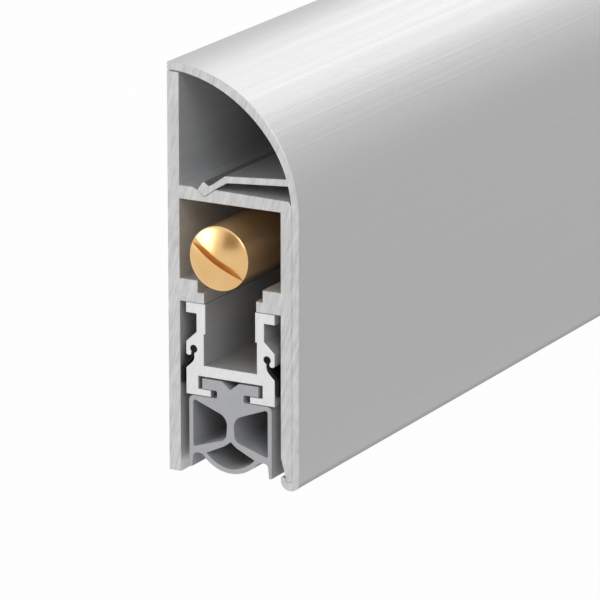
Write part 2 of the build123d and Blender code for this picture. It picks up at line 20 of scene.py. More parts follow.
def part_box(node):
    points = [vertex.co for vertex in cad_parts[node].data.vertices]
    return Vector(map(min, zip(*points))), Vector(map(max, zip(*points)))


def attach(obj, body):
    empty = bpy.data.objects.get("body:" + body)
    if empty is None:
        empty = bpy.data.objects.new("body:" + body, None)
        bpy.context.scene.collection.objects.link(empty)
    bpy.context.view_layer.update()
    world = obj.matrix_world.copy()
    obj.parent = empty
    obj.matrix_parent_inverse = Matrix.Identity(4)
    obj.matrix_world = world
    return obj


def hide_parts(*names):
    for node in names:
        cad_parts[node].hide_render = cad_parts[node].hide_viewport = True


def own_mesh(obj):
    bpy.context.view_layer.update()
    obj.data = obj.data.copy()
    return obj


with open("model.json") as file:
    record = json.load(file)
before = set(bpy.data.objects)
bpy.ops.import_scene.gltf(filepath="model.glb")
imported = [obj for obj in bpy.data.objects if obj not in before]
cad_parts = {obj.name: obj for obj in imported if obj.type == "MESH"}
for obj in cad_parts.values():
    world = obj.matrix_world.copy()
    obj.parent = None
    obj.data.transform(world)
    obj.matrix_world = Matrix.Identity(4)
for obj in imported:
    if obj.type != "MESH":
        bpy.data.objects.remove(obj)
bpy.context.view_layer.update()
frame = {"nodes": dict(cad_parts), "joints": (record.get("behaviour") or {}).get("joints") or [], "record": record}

print("nodes in the frame:", len(frame["nodes"]))

# %% [markdown]
# ## The drawing space
#
# A profile is easiest to draw as its maker does: in millimetres, as depth from the door's face and height
# above the housing's foot, with lengths counted from the sawn end. Bevels and cuts also work more exactly
# on numbers near one than on thousandths of a metre. So every piece is drawn in this space, and one matrix
# brings it to the frame at the end.

# %% The drawing space
MM = 0.001
housing_low, housing_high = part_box("housing")
to_frame = Matrix.Translation((housing_low.x, housing_high.y, housing_low.z)) @ Matrix.Scale(MM, 4)
to_drawing = to_frame.inverted()


def drawn_box(node):
    """A node's box in the drawing space: (first x, last x), (least depth, most depth), (low, high)."""
    low, high = (to_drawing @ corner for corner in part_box(node))
    return (low.x, high.x), (-high.y, -low.y), (low.z, high.z)


def middle_x(node):
    """The middle of a node along the seal."""
    (start, stop), _, _ = drawn_box(node)
    return (start + stop) / 2


def joint_range(name):
    """How far a sliding joint goes, in metres."""
    return next(joint for joint in frame["joints"] if joint["name"] == name)["range_m"][1]


(_, length), (_, front_face), (_, wall_height) = drawn_box("housing")
_, (_, depth), (cover_foot, cover_top) = drawn_box("cover_profile")
_, (bar_door_side, bar_room_side), (bar_foot, bar_top) = drawn_box("drop_bar")
_, (seal_door_side, seal_room_side), (seal_foot, _) = drawn_box("floor_seal")
_, (_, gasket_side), (gasket_foot, _) = drawn_box("room_side_gasket")
middle = (bar_door_side + bar_room_side) / 2
print(f"length {length:.2f}, depth {depth:.2f}, height {cover_top - cover_foot:.2f} mm, middle {middle:.2f}")

# %% [markdown]
# ## Drawing a section
#
# An extruded profile is one flat section pulled along its length. The section starts as a polygon whose
# corners carry a radius, and the bevel operator rounds each corner. A bevel of two edges that meet at an
# angle is a true arc close to a right angle, so a long arc is drawn as a few such corners. Drawing the arc
# point by point would also work, but then nothing could be changed later without drawing it again.

# %% Corners of an arc


widest_corner = 92  # degrees that one rounded corner of an arc turns at most


def arc(centre, radius, start, stop):
    """Corners whose rounding follows a circle from one angle to another, in degrees."""
    count = math.ceil(abs(stop - start) / widest_corner)
    step = (stop - start) / count
    reach = radius / math.cos(math.radians(step) / 2)
    angles = [math.radians(start + step * (index + 0.5)) for index in range(count)]
    return [(centre[0] + reach * math.cos(a), centre[1] + reach * math.sin(a), radius) for a in angles]


def on_circle(centre, radius, angle):
    """The point of a circle at an angle in degrees."""
    a = math.radians(angle)
    return centre[0] + radius * math.cos(a), centre[1] + radius * math.sin(a)


def placed(corners, side=1):
    """Corners measured from the bar's middle, set in their place. With side -1 they are mirrored."""
    return [(middle + side * corner[0], *corner[1:]) for corner in corners]


def left_half(right):
    """The left half of an outline, from its right half that starts at the mirror line."""
    return [(-corner[0], *corner[1:]) for corner in reversed(right) if corner[0] > 0]


print("an arc of 310 degrees takes", len(arc((0, 0), 1, -50, 260)), "corners")

# %% [markdown]
# ## From corners to a bar
#
# The outline becomes a ring of edges, the fill operator closes it and leaves holes where smaller rings lie
# inside it, and an extrusion pulls it to its length. A saw leaves an edge that is broken with a file, which
# is an inset of a few hundredths: it catches the light and makes the cut end look real.

# %% Rings and bars
round_step = math.radians(8)  # turn of one facet of a rounded corner
longest_facet = 0.4
weld_distance = 0.002
end_facing = 0.999  # how squarely a sawn face looks along the bar


def round_corners(bm, ring, corners, facet):
    """Bevels each vertex of a ring whose corner has a radius, given as its third number."""
    places = [Vector(corner[:2]) for corner in corners]
    for index, (vertex, corner) in enumerate(zip(ring, corners)):
        if len(corner) < 3:
            continue
        back = places[index - 1] - places[index]
        ahead = places[(index + 1) % len(places)] - places[index]
        turn = math.pi - back.angle(ahead)
        segments = max(2, math.ceil(turn / round_step), math.ceil(corner[2] * turn / facet))
        bmesh.ops.bevel(
            bm, geom=[vertex], offset=corner[2] * math.tan(turn / 2), offset_type="OFFSET",
            affect="VERTICES", segments=segments, profile=0.5, material=-1, clamp_overlap=False,
        )


def section_faces(outer, holes, x):
    """A bmesh with one flat section at x: an outline with holes."""
    bm = bmesh.new()
    for corners in [outer, *holes]:
        ring = [bm.verts.new((x, -corner[0], corner[1])) for corner in corners]
        bm.faces.new(ring)
        round_corners(bm, ring, corners, longest_facet)
    bmesh.ops.delete(bm, geom=bm.faces[:], context="FACES_ONLY")
    bmesh.ops.remove_doubles(bm, verts=bm.verts[:], dist=weld_distance)
    if holes:
        bmesh.ops.triangle_fill(bm, edges=bm.edges[:], use_beauty=True, normal=(-1, 0, 0))
    else:
        bmesh.ops.contextual_create(bm, geom=bm.edges[:])
    return bm


def profile_bar(outer, holes=(), stop=length, edge=0.05):
    """A section pulled along the length, with both sawn edges broken. Sawn faces take material 1."""
    bm = section_faces(outer, holes, edge)
    pulled = bmesh.ops.extrude_face_region(bm, geom=bm.faces[:])
    moved = [item for item in pulled["geom"] if isinstance(item, bmesh.types.BMVert)]
    bmesh.ops.translate(bm, verts=moved, vec=(stop - 2 * edge, 0, 0))
    bmesh.ops.recalc_face_normals(bm, faces=bm.faces[:])
    for side in (-1, 1):
        ends = [face for face in bm.faces if face.normal.x * side > end_facing]
        rim = bmesh.ops.inset_region(bm, faces=ends, thickness=edge, depth=edge, use_even_offset=True)
        for face in ends + rim["faces"]:
            face.material_index = 1
    return bm


trial = profile_bar([(0, 0), (4, 0), (4, 2, 0.5), (0, 2, 0.5)], stop=10)
print("a trial bar has", len(trial.faces), "faces and a volume of", round(trial.calc_volume(), 2), "mm3")
trial.free()

# %% [markdown]
# ## Finishing a piece
#
# Each piece ends the same way: its mesh is brought to the frame, its smooth and sharp edges are told apart
# by their angle, it takes the place of its mechanical node, and it rides on the body that carries it, so
# that it moves as the real piece does. Its object stays at the origin, because the place is in the mesh.

# %% Finishing a piece
node_slots = {piece["node"]: piece["material_slot"] for piece in frame["record"]["subparts"]}
node_bodies = {
    node: body for body, nodes in frame["record"]["behaviour"]["bodies"].items() for node in nodes
}
pieces = {}


def add_object(name, data):
    """An object in the scene that holds a mesh, a camera or a lamp."""
    thing = bpy.data.objects.new(name, data)
    bpy.context.scene.collection.objects.link(thing)
    return thing


def finish_piece(node, bm, sharp_angle=28):
    """The object that stands for one mechanical node."""
    mesh = bpy.data.meshes.new(node + "_shape")
    bm.to_mesh(mesh)
    bm.free()
    mesh.transform(to_frame)
    mesh.shade_smooth()
    mesh.set_sharp_from_angle(angle=math.radians(sharp_angle))
    piece = add_object(node + "_piece", mesh)
    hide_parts(node)
    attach(piece, node_bodies[node])
    pieces[node] = piece
    print(node, "has", sum(len(face.vertices) - 2 for face in mesh.polygons), "triangles")
    return piece


def cut_away(bm, cutters):
    """The shape less every cutter, by exact Boolean modifiers that are applied at once."""
    things = []
    for index, shape in enumerate([bm, *cutters]):
        mesh = bpy.data.meshes.new(f"cut_{index}")
        shape.to_mesh(mesh)
        shape.free()
        things.append(add_object(f"cut_{index}", mesh))
    body, *tools = things
    for tool in tools:
        cut = body.modifiers.new("cut", "BOOLEAN")
        cut.object, cut.operation, cut.solver = tool, "DIFFERENCE", "EXACT"
    seen = body.evaluated_get(bpy.context.evaluated_depsgraph_get())
    result = bmesh.new()
    result.from_mesh(seen.to_mesh())
    seen.to_mesh_clear()
    for thing in things:
        mesh = thing.data
        bpy.data.objects.remove(thing)
        bpy.data.meshes.remove(mesh)
    return result


drill_sides = 48


def drill(x, from_door, height, radius, span, along=(0, 0, 1), second_radius=None):
    """A cutter: a cylinder or cone of some span along an axis, centred on a place."""
    bm = bmesh.new()
    turn = Vector((0, 0, 1)).rotation_difference(Vector(along)).to_matrix().to_4x4()
    bmesh.ops.create_cone(
        bm, cap_ends=True, segments=drill_sides, radius1=radius, depth=span,
        radius2=radius if second_radius is None else second_radius,
        matrix=Matrix.Translation((x, -from_door, height)) @ turn,
    )
    return bm


# %% [markdown]
# ## The cover
#
# The cover is one thin aluminium extrusion: a flat front, a quarter-round crown that reaches back to the
# door, a hook that grips the housing's foot, and inside, an arm whose bead snaps into the shelf's groove.
# Where the arm leaves the crown, its two edges end on the crown's inner circle, so those points are worked
# out from the circle instead of being measured.

# %% The cover's section
wall, room_width, shelf_top = 1.45, 12.5, 32.5
cover_wall = depth - front_face
crown_inset, bead_gap, arm_wall = 0.4, 0.04, 0.78
wall_foot, foot_wall, hook_lip = 0.77, 0.75, 1.35
groove, groove_depth, groove_round = 4.5, 1.03, 0.45
groove_door_side, groove_room_side = 1.35, 1.42
knee_reach, knee_rise, arm_rise = 2.9, 1.6, 2.35
room_face = wall + room_width
crown_radius = depth - crown_inset
crown_inside = crown_radius - cover_wall
crown = (crown_inset, cover_top - math.sqrt(crown_radius**2 - crown_inset**2))


def meet_crown(start, end):
    """Where a line from start towards end meets the crown's inner circle, and at which angle."""
    along = Vector(end) - Vector(start)
    offset = Vector(start) - Vector(crown)
    a, b, c = along.dot(along), along.dot(offset), offset.dot(offset) - crown_inside**2
    point = Vector(start) + along * ((math.sqrt(b * b - a * c) - b) / a)
    return tuple(point), math.degrees(math.asin((point.y - crown[1]) / crown_inside))


def groove_corners(lift=0.0):
    """The V groove's corners from the door to the room, lifted to clear it when they draw the bead."""
    return [
        (groove - groove_door_side * 0.6, shelf_top + lift - groove_depth / 4, groove_round * 0.8),
        (groove, shelf_top + lift - groove_depth, groove_round),
        (groove + groove_room_side, shelf_top + lift),
    ]


knee = groove + knee_reach
knee_top = (knee - arm_wall * 0.4, shelf_top + knee_rise + arm_wall * 0.1, arm_wall * 0.6)
knee_under = (knee, shelf_top + knee_rise - arm_wall * 0.85, arm_wall * 0.6)
arm_end = front_face + cover_wall / 2
upper_root, upper_angle = meet_crown(knee_top[:2], (arm_end, shelf_top + arm_rise))
lower_root, lower_angle = meet_crown(knee_under[:2], (arm_end, shelf_top + arm_rise - arm_wall))
print("the arm leaves the crown at", round(lower_angle, 1), "to", round(upper_angle, 1), "degrees")

# %% The cover's outline
hook_round = (depth - room_face) / 2 * 0.95
lip_gap, surface_reach = 0.01, 0.1
lip_inside = front_face - foot_wall - lip_gap
outer_end = 90 + math.degrees(math.asin(crown_inset / crown_radius))
inner_end = 90 + math.degrees(math.asin(crown_inset / crown_inside))
cover_outline = [
    on_circle(crown, crown_radius, outer_end),
    *arc(crown, crown_radius, outer_end, 0),
    (depth, cover_foot, hook_round),
    (room_face, cover_foot, hook_round),
    (room_face, hook_lip - foot_wall / 5, foot_wall * 0.15),
    (room_face + foot_wall * 0.25, hook_lip, foot_wall * 0.15),
    (lip_inside - foot_wall * 0.1, hook_lip - foot_wall * 0.35),
    (lip_inside, wall_foot - lip_gap, foot_wall * 0.1),
    (front_face, wall_foot - lip_gap, foot_wall * 0.3),
    *arc(crown, crown_inside, 0, lower_angle),
    lower_root,
    knee_under,
    *groove_corners(bead_gap)[:0:-1],
    (*groove_corners(bead_gap)[0][:2], arm_wall / 10),
    (groove - arm_wall / 10, shelf_top + arm_wall, arm_wall * 0.2),
    (groove + arm_wall * 0.75, shelf_top + arm_wall * 0.45, arm_wall * 0.15),
    (groove + arm_wall * 1.2, shelf_top + arm_wall * 0.6, arm_wall * 0.15),
    knee_top,
    upper_root,
    *arc(crown, crown_inside, upper_angle, inner_end),
    on_circle(crown, crown_inside, inner_end),
]
cover_bm = profile_bar(cover_outline)
for face in cover_bm.faces:
    _, right, up = face.calc_center_median() * Vector((1, -1, 1))
    if up > crown[1]:
        inside = math.hypot(right - crown[0], up - crown[1]) < crown_inside + surface_reach
    else:
        inside = right < front_face + surface_reach and up > wall_foot - surface_reach
    if face.material_index == 0 and inside:
        face.material_index = 2
cover = finish_piece("cover_profile", cover_bm)

# %% [markdown]
# ## The housing
#
# The housing carries everything. Its back wall lies on the door and holds the wood screws, its shelf closes
# the room of the mechanism and carries the groove for the cover's bead, and two stepped ledges stop the
# drop bar when it rises. It is the same kind of bar as the cover, with screw holes cut through afterwards.

# %% The housing's outline
ledge_top, ledge_middle, ledge_under = 22.05, 20.7, 19.5
half_seat, half_ledge = 4.025, 3.225
shelf_under, shelf_chamfer, shelf_fall, foot_taper = 31.0, 0.5, 0.16, 2.6
corner_radius = crown_inside - bead_gap / 2
corner_rise = shelf_top - shelf_fall - shelf_chamfer
corner_angle = math.degrees(math.asin((corner_rise - crown[1]) / corner_radius))
housing_outline = [
    (0, 0),
    (0, wall_height),
    (wall, wall_height),
    (wall, shelf_top),
    (groove - groove_door_side, shelf_top),
    *groove_corners(),
    (front_face - shelf_chamfer, shelf_top - shelf_fall),
    on_circle(crown, corner_radius, corner_angle),
    *arc(crown, corner_radius, corner_angle, 0),
    (front_face, crown[1]),
    (front_face, wall_foot, foot_wall * 0.35),
    (front_face - foot_wall, wall_foot, foot_wall * 0.15),
    (front_face - foot_wall * 1.2, wall_foot + foot_taper * 0.35, foot_wall * 0.3),
    (room_face, wall_foot + foot_taper),
    (room_face, ledge_under),
    (middle + half_ledge, ledge_under),
    (middle + half_ledge, ledge_middle),
    (middle + half_seat, ledge_middle),
    (middle + half_seat, ledge_top),
    (room_face, ledge_top),
    (room_face, shelf_under),
    (wall, shelf_under),
    (wall, ledge_top),
    (middle - half_seat, ledge_top),
    (middle - half_seat, ledge_middle),
    (middle - half_ledge, ledge_middle),
    (middle - half_ledge, ledge_under),
    (wall, ledge_under),
    (wall, 0),
]
housing_bar = profile_bar(housing_outline)
print("the housing's bar has", len(housing_bar.faces), "faces")

# %% The housing's holes
hole_radius = frame["record"]["mounts"][0]["dims"]["hole_r_mm"]
outer_spacing = frame["record"]["mounts"][0]["dims"]["spacing_x_mm"]
hole_height = -housing_low.z / MM
screw_head, screw_shank, head_depth, block_screw_step = 2.5, 1.4, 0.9, 10
shank_cut, cut_past = 4, 0.05
_, (screw_near, screw_far), _ = drawn_box("block_screws")
screw_line = (screw_near + screw_far) / 2
screw_places = [middle_x("plunger_guide"), middle_x("spring_stop")]
for node in ("front_lever_block", "rear_lever_block"):
    screw_places += [middle_x(node) - block_screw_step, middle_x(node) + block_screw_step]
cutters = [
    drill(length / 2 + place * outer_spacing / 2, wall / 2, hole_height, hole_radius, wall * 3, (0, 1, 0))
    for place in (-1, 0, 1)
]
for x in screw_places:
    cutters.append(drill(x, screw_line, (shelf_top + shelf_under) / 2, screw_shank, shank_cut))
    cutters.append(drill(
        x, screw_line, shelf_top - head_depth / 2 + cut_past, screw_shank, head_depth + 2 * cut_past,
        second_radius=screw_head + 2 * cut_past,
    ))
finish_piece("housing", cut_away(housing_bar, cutters))

# %% [markdown]
# ## The drop bar
#
# The drop bar is the aluminium rail that comes down. Two flanged legs form a channel for the levers'
# brackets, a slot below holds the seal's head, and a small round socket on each side grips a side gasket.
# It is symmetrical, so only its right half is drawn, and a helper mirrors it.

# %% The drop bar's outline
half_channel, bar_relief, relief_height = 3.1, 0.2, 3.55
flange, leg, hook_wall = 1.16, 1.1, 0.65
lip, tee_height, half_tee, half_mouth, web, box_height = 0.75, 1.45, 4.0, 2.45, 1.25, 3.0
bar_side = (bar_room_side - bar_door_side) / 2
tee_foot = bar_foot + lip
tee_top = tee_foot + tee_height
web_top = tee_top + web
socket_inset, socket_rise, socket_radius, leg_inset = 0.93, 5.2, 0.43, 0.07
socket = (bar_side - socket_inset, bar_foot + socket_rise)
socket_leg = socket[0] - leg_inset
hook_angle = -math.degrees(math.acos((bar_side - hook_wall - socket[0]) / socket_radius))
leg_angle = 360 - math.degrees(math.acos((socket_leg - socket[0]) / socket_radius))
bar_half = [
    (half_channel + bar_relief, web_top),
    (half_channel + bar_relief, web_top + relief_height),
    (half_channel, web_top + relief_height),
    (half_channel, bar_top),
    (bar_side, bar_top),
    (bar_side, bar_top - flange),
    (half_channel + leg, bar_top - flange),
    (half_channel + leg, socket[1] + leg * 1.8),
    (bar_side, socket[1] + hook_wall * 1.2),
    (bar_side, socket[1] - hook_wall * 1.2, hook_wall * 0.45),
    (bar_side - hook_wall, socket[1] - hook_wall * 1.2, hook_wall * 0.45),
    on_circle(socket, socket_radius, hook_angle),
    *arc(socket, socket_radius, hook_angle, leg_angle),
    on_circle(socket, socket_radius, leg_angle),
    (socket_leg, bar_foot + box_height + hook_wall * 1.4, hook_wall * 1.4),
    (bar_side, bar_foot + box_height, hook_wall / 3),
    (bar_side, bar_foot),
    (half_mouth, bar_foot),
    (half_mouth, tee_foot),
    (half_tee, tee_foot),
    (half_tee, tee_top),
]
finish_piece("drop_bar", profile_bar(placed(bar_half + left_half(bar_half))))

# %% [markdown]
# ## The floor seal
#
# The grey seal is extruded silicone: a head that slides into the bar's slot, two side chambers, a round
# belly that flattens on the floor and a lip on each side. Its thin inner walls fold when the bar comes
# down, which is why it is hollow. The three hollows are rings inside the outline.

# %% The floor seal's outline
seal_wall, soft_edge = 0.5, 0.02
half_seal = (seal_room_side - seal_door_side) / 2
belly_radius, half_head, half_neck, head_gap = 4.35, 3.5, 1.65, 0.07
half_dent, dent_depth = 1.05, 0.85
shoulder = bar_foot - head_gap
head_top = tee_top - head_gap * 3
belly = (0, seal_foot + belly_radius)
belly_start = seal_foot + seal_wall * 2.5
belly_angle = -math.degrees(math.asin((belly[1] - belly_start) / belly_radius))
notch_side = belly_radius * math.cos(math.radians(belly_angle))
lip_top = seal_foot + seal_wall * 3.6
seal_half = [
    (0, head_top - dent_depth),
    (half_dent, head_top),
    (half_head, head_top),
    (half_head, tee_foot + head_gap),
    (half_neck, tee_foot + head_gap, lip * 0.3),
    (half_neck, shoulder, lip * 0.3),
    (half_seal, shoulder, seal_wall * 1.2),
    (half_seal, seal_foot + seal_wall / 4, seal_wall / 5),
    (half_seal - seal_wall * 0.7, seal_foot + seal_wall / 4, seal_wall / 5),
    (half_seal - seal_wall, lip_top, seal_wall),
    (notch_side + seal_wall, lip_top, seal_wall),
    (notch_side, belly_start),
]
seal_arc = arc(belly, belly_radius, belly_angle, -180 - belly_angle)
seal_outline = placed(seal_half + seal_arc + left_half(seal_half))
print("the belly turns", round(180 + 2 * belly_angle, 1), "degrees")

# %% The floor seal's hollows
chamber_side = half_seal - seal_wall
chamber = [
    (chamber_side, shoulder - seal_wall * 0.75, seal_wall * 0.6),
    (seal_wall * 0.7, shoulder - seal_wall * 4, seal_wall * 2.6),
    (seal_wall * 1.1, belly[1] - seal_wall * 1.2, seal_wall * 1.8),
    (chamber_side, seal_foot + seal_wall * 4.9, seal_wall * 0.4),
]
eaves = seal_foot + seal_wall * 3.9
hollow_radius = belly_radius - seal_wall
eaves_angle = math.degrees(math.asin((eaves - belly[1]) / hollow_radius))
ridge = belly[1] - seal_wall * 1.4
roof_bend = (seal_wall * 1.4, ridge - seal_wall * 1.2, seal_wall * 2.5)
hollow = [
    (0, ridge, seal_wall * 0.2),
    roof_bend,
    on_circle(belly, hollow_radius, eaves_angle),
    *arc(belly, hollow_radius, eaves_angle, -180 - eaves_angle),
    on_circle(belly, hollow_radius, -180 - eaves_angle),
    (-roof_bend[0], *roof_bend[1:]),
]
holes = [placed(chamber), placed(chamber, side=-1), placed(hollow)]
finish_piece("floor_seal", profile_bar(seal_outline, holes, edge=soft_edge))

# %% [markdown]
# ## The side gaskets
#
# A thin rubber strip closes the gap on each side of the drop bar. Its round bulb is pressed into the bar's
# socket and its fin hangs beside the housing's wall. The strip on the door's side is the mirror image.

# %% The side gaskets
bulb, fin, neck_half = 0.38, 0.32, 0.147
half_room = gasket_side - middle
neck = (socket_leg + bar_side - hook_wall) / 2
box_top = bar_foot + box_height
left_angle = 360 - math.degrees(math.acos((neck - neck_half - socket[0]) / bulb))
right_angle = -math.degrees(math.acos((neck + neck_half - socket[0]) / bulb))
strip = [
    on_circle(socket, bulb, left_angle),
    *arc(socket, bulb, left_angle, right_angle),
    on_circle(socket, bulb, right_angle),
    (neck + neck_half, socket[1] - hook_wall * 1.15, fin * 0.8),
    (half_room, box_top, fin * 2.2),
    (half_room, gasket_foot, fin * 0.4),
    (half_room - fin, gasket_foot, fin * 0.4),
    (half_room - fin, box_top - fin * 0.45, fin * 1.7),
    (neck - neck_half, socket[1] - hook_wall * 1.3, fin),
]
for side, node in ((1, "room_side_gasket"), (-1, "door_side_gasket")):
    finish_piece(node, profile_bar(placed(strip, side), edge=soft_edge))

# %% [markdown]
# ## The plunger
#
# The plunger is turned from brass bar: a smooth rod with a low dome, bored from behind for its spindle, and
# with a slot for a screwdriver that sets how far the seal comes down. A turned piece is a half section spun
# about its axis, which is what the lathe does too. The slot is cut afterwards, as a saw does. The dome is
# freshly turned and shiny, the barrel keeps the duller skin of the drawn bar, so it takes its own material.

# %% The plunger's turning
(plunger_front, plunger_rear), (plunger_near, plunger_far), (plunger_low, plunger_high) = drawn_box("plunger")
plunger_radius = (plunger_high - plunger_low) / 2
plunger_axis = Vector((0, -(plunger_near + plunger_far) / 2, (plunger_low + plunger_high) / 2))
dome, bore_start, bore_radius, rim_break, edge_break = 0.9, 12.0, 2.55, 0.2, 0.08
slot_width, slot_depth, slot_angle = 0.72, 0.95, 30.0
dome_facet, lathe_steps = 0.12, 96
axis_reach, turned_weld = 1e-6, 1e-4  # how near counts as on the axis, or as the same point


def turned(half_section):
    """A closed half section of (x, radius, rounding) corners, spun about the plunger's axis."""
    bm = bmesh.new()
    ring = [bm.verts.new((corner[0], 0, corner[1])) for corner in half_section]
    bm.faces.new(ring)
    round_corners(bm, ring, half_section, dome_facet)
    bmesh.ops.delete(bm, geom=bm.faces[:], context="FACES_ONLY")
    on_axis = [edge for edge in bm.edges if all(abs(v.co.z) < axis_reach for v in edge.verts)]
    bmesh.ops.delete(bm, geom=on_axis, context="EDGES")
    bmesh.ops.spin(
        bm, geom=bm.verts[:] + bm.edges[:], cent=(0, 0, 0), axis=(1, 0, 0), angle=math.tau,
        steps=lathe_steps, use_merge=True,
    )
    bmesh.ops.remove_doubles(bm, verts=bm.verts[:], dist=turned_weld)
    bmesh.ops.recalc_face_normals(bm, faces=bm.faces[:])
    bmesh.ops.translate(bm, verts=bm.verts[:], vec=plunger_axis)
    return bm


dome_start = plunger_front + dome
sphere = (plunger_radius**2 + dome**2) / (2 * dome)
dome_centre = (plunger_front + sphere, 0)
half_turn = math.degrees(math.asin((plunger_radius - edge_break) / sphere))
plunger_section = [
    (plunger_front, 0),
    *arc(dome_centre, sphere, 180, 180 - half_turn),
    on_circle(dome_centre, sphere, 180 - half_turn),
    (dome_start + edge_break / 2, plunger_radius),
    (plunger_rear, plunger_radius, rim_break),
    (plunger_rear, bore_radius),
    (bore_start, bore_radius),
    (bore_start, 0),
]
plunger_bm = turned(plunger_section)
print("the plunger's volume is", round(plunger_bm.calc_volume()), "mm3")

# %% The plunger's slot
slot_cutter = bmesh.new()
bmesh.ops.create_cube(slot_cutter, size=1.0)
bmesh.ops.scale(slot_cutter, verts=slot_cutter.verts[:], vec=(slot_depth * 2, plunger_radius * 3, slot_width))
slot_turn = Matrix.Rotation(math.radians(slot_angle), 4, "X")
slot_place = Matrix.Translation(plunger_axis + Vector((plunger_front, 0, 0)))
bmesh.ops.transform(slot_cutter, matrix=slot_place @ slot_turn, verts=slot_cutter.verts[:])
# The slot's floor keeps the turned brass. Its walls take material 1: sawn and rougher, with a darker, more orange
# colour that is a painted shade.
for face in slot_cutter.faces:
    face.material_index = 0 if face.normal.x > 0.9 else 1
slotted = cut_away(plunger_bm, [slot_cutter])
for face in slotted.faces:
    if face.material_index == 0 and face.calc_center_median().x > dome_start + edge_break:
        face.material_index = 2
plunger = finish_piece("plunger", slotted, sharp_angle=24)

# %% [markdown]
# ## The return spring
#
# The coil spring stands between a collar on the spindle and a fixed block. A circle of wire is spun about
# the axis with a small step along it at each turn of the spin, which is the operator's way to make a coil.
# It is soft in the sense that it shortens when the plunger goes in, and the share of its length that it keeps then
# is worked out here.

# %% The return spring
(spring_start, spring_stop), _, (spring_low, spring_high) = drawn_box("return_spring")
wire_radius, wire_sides, coil_turns, steps_per_turn = 0.45, 14, 7, 36
coil_radius = (spring_high - spring_low) / 2 - wire_radius
coil_rise = spring_stop - spring_start - 2 * wire_radius
first_place = Matrix.Translation((spring_start + wire_radius, 0, coil_radius))
spring_bm = bmesh.new()
bmesh.ops.create_circle(
    spring_bm, cap_ends=False, segments=wire_sides, radius=wire_radius,
    matrix=first_place @ Matrix.Rotation(math.pi / 2, 4, "X"),
)
step_count = coil_turns * steps_per_turn
bmesh.ops.spin(
    spring_bm, geom=spring_bm.verts[:] + spring_bm.edges[:], cent=(0, 0, 0), axis=(1, 0, 0),
    dvec=(coil_rise / step_count, 0, 0), angle=math.tau * coil_turns, steps=step_count, use_merge=False,
)
bmesh.ops.holes_fill(spring_bm, edges=[edge for edge in spring_bm.edges if edge.is_boundary])
bmesh.ops.recalc_face_normals(spring_bm, faces=spring_bm.faces[:])
bmesh.ops.translate(spring_bm, verts=spring_bm.verts[:], vec=plunger_axis)
spring = finish_piece("return_spring", spring_bm, sharp_angle=50)
spring_first, spring_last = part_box("return_spring")
spring_kept = 1 - joint_range("push_slide") / (spring_last.x - spring_first.x)
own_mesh(spring)
print("the spring keeps", round(spring_kept, 3), "of its length")

# %% [markdown]
# ## Writing shader sums
#
# A material is a graph of nodes. Sums in it are easier to read as sums, so a small class wraps a node's
# output: adding or multiplying two wires adds the Math node that does it. One function adds every other
# node from its kind, its settings and its inputs.

# %% Wires and nodes


class Wire:
    """One output of a node. Sums of wires and numbers become Math nodes."""

    def __init__(self, tree, socket):
        self.tree, self.socket = tree, socket

    def math(self, operation, first, second):
        return add_node(self.tree, "ShaderNodeMath", {"operation": operation}, {0: first, 1: second})

    def __add__(self, other):
        return self.math("ADD", self, other)

    def __radd__(self, other):
        return self.math("ADD", other, self)

    def __mul__(self, other):
        return self.math("MULTIPLY", self, other)

    def __rmul__(self, other):
        return self.math("MULTIPLY", other, self)


def add_node(tree, kind, settings=(), inputs=(), output=0):
    """A node of a kind, its settings made first, then its inputs, as a wire from one output."""
    node = tree.nodes.new(kind)
    for name, value in dict(settings).items():
        if name == "stops":
            ramp = node.color_ramp
            while len(ramp.elements) < len(value):
                ramp.elements.new(1.0)
            for element, (position, shade) in zip(ramp.elements, value):
                element.position, element.color = position, (*shade, 1.0)
        else:
            setattr(node, name, value)
    for name, value in dict(inputs).items():
        if isinstance(value, Wire):
            tree.links.new(value.socket, node.inputs[name])
        else:
            node.inputs[name].default_value = value
    return Wire(tree, node.outputs[output])


def grey(value):
    """A neutral colour."""
    return (value, value, value)


print("wires are ready")

# %% [markdown]
# ## Patterns on metal
#
# Extrusion and brushing leave marks that are long along the bar and fine across it. Noise that is stretched
# along one axis gives that. The Mapping node scales Object coordinates, which are metres of this object, so
# a scale of 4000 across and 20 along makes marks a quarter of a millimetre wide and five centimetres long.

# %% Noise on a piece
shade_low, shade_high = 0.3, 0.7


def object_noise(tree, scale, detail=3.0, turn=(0, 0, 0), roughness=0.5):
    """Noise on Object coordinates, with its own scale along each axis and an optional turn."""
    place = add_node(tree, "ShaderNodeTexCoord", output="Object")
    mapped = add_node(
        tree, "ShaderNodeMapping", {"vector_type": "POINT"}, {"Vector": place, "Rotation": turn}
    )
    stretched = add_node(tree, "ShaderNodeVectorMath", {"operation": "MULTIPLY"}, {0: mapped, 1: scale})
    return add_node(
        tree, "ShaderNodeTexNoise", {"noise_dimensions": "3D"},
        {"Vector": stretched, "Scale": 1.0, "Detail": detail, "Roughness": roughness},
    )


def shades(tree, factor, dark, light):
    """A colour between two, by a noise's level."""
    stops = [(shade_low, dark), (shade_high, light)]
    return add_node(tree, "ShaderNodeValToRGB", {"stops": stops}, {"Fac": factor})


def new_finish(name, **numbers):
    """A material and its tree, with plain numbers on the shader's own sockets."""
    material = bpy.data.materials.new(name)
    material.use_nodes = True
    shader = material.node_tree.nodes["Principled BSDF"]
    for socket, value in numbers.items():
        shader.inputs[socket.replace("_", " ")].default_value = value
    return material, material.node_tree, shader


def dress(tree, shader, color, roughness, height, bump, distance):
    """Links a finish's varying parts to its shader: colour, roughness and a bump from a height."""
    raised = add_node(
        tree, "ShaderNodeBump", {}, {"Height": height, "Strength": bump, "Distance": distance}
    )
    for name, wire in (("Base Color", color), ("Roughness", roughness), ("Normal", raised)):
        tree.links.new(wire.socket, shader.inputs[name])


print("patterns are ready")
